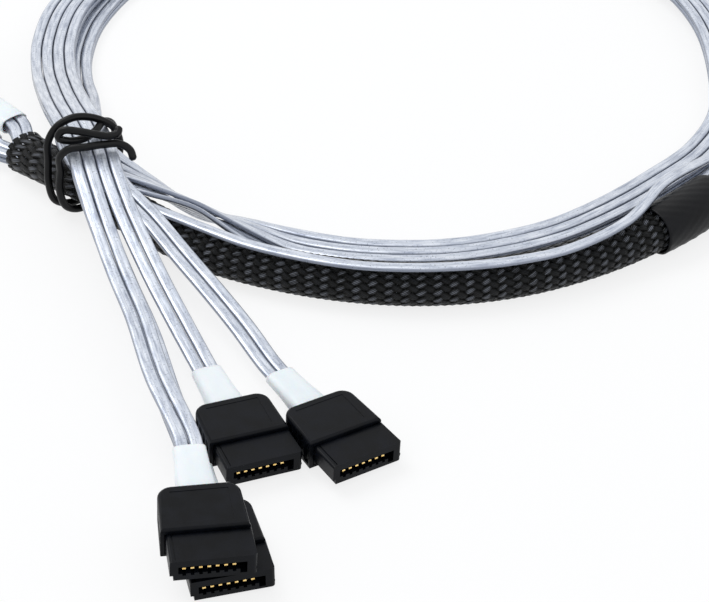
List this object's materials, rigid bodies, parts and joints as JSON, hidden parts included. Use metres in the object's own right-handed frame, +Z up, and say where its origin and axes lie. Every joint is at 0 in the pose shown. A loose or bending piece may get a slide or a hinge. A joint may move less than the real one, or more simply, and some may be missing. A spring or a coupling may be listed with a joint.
{
  "type": "mini sas breakout cable",
  "caption": "Internal data cable with a board-side plug, a braided sleeve, a coil of flat foil leads held by a twist tie, and flat data plugs on the fanned ends.",
  "frame": {"origin": "under the middle of the whole cable, on the surface it lies on", "axes": "+Z up from the surface; -Y toward the side where the data plugs point; +X to the right as seen with the data plugs nearest"},
  "size_m": [0.21, 0.2382, 0.0201],
  "materials": {
    "plug_black": "satin moulded plastic",
    "contact_gold": "gold-plated spring contacts",
    "shrink_white": "soft-gloss white heat-shrink",
    "braid_black": "glossy black monofilament weave",
    "shrink_black": "satin black heat-shrink",
    "tie_rubber": "smooth black rubber over wire",
    "lead_foil": "wrinkled foil under a clear jacket",
    "plug_steel": "bare stamped steel",
    "card_green": "solder-masked card with plated pads"
  },
  "bodies": {
    "root": {"data_plug_1_housing": "plug_black", "data_plug_1_contact_1": "contact_gold", "data_plug_1_contact_2": "contact_gold", "data_plug_1_contact_3": "contact_gold", "data_plug_1_contact_4": "contact_gold", "data_plug_1_contact_5": "contact_gold", "data_plug_1_contact_6": "contact_gold", "data_plug_1_contact_7": "contact_gold", "data_plug_1_hood": "plug_black", "data_plug_1_sleeve": "shrink_white", "lead_1_a": "lead_foil", "lead_1_b": "lead_foil", "data_plug_2_housing": "plug_black", "data_plug_2_contact_1": "contact_gold", "data_plug_2_contact_2": "contact_gold", "data_plug_2_contact_3": "contact_gold", "data_plug_2_contact_4": "contact_gold", "data_plug_2_contact_5": "contact_gold", "data_plug_2_contact_6": "contact_gold", "data_plug_2_contact_7": "contact_gold", "data_plug_2_hood": "plug_black", "data_plug_2_sleeve": "shrink_white", "lead_2_a": "lead_foil", "lead_2_b": "lead_foil", "data_plug_3_housing": "plug_black", "data_plug_3_contact_1": "contact_gold", "data_plug_3_contact_2": "contact_gold", "data_plug_3_contact_3": "contact_gold", "data_plug_3_contact_4": "contact_gold", "data_plug_3_contact_5": "contact_gold", "data_plug_3_contact_6": "contact_gold", "data_plug_3_contact_7": "contact_gold", "data_plug_3_hood": "plug_black", "data_plug_3_sleeve": "shrink_white", "lead_3_a": "lead_foil", "lead_3_b": "lead_foil", "data_plug_4_housing": "plug_black", "data_plug_4_contact_1": "contact_gold", "data_plug_4_contact_2": "contact_gold", "data_plug_4_contact_3": "contact_gold", "data_plug_4_contact_4": "contact_gold", "data_plug_4_contact_5": "contact_gold", "data_plug_4_contact_6": "contact_gold", "data_plug_4_contact_7": "contact_gold", "data_plug_4_hood": "plug_black", "data_plug_4_sleeve": "shrink_white", "lead_4_a": "lead_foil", "lead_4_b": "lead_foil", "braided_sleeve": "braid_black", "braid_closing_sleeve": "shrink_black", "bundle_sleeve_left": "shrink_white", "bundle_sleeve_right": "shrink_white", "board_plug_nose": "plug_steel", "board_plug_body": "plug_black", "board_plug_card": "card_green", "board_plug_latch": "plug_steel", "twist_tie": "tie_rubber"}
  },
  "joints": []
}
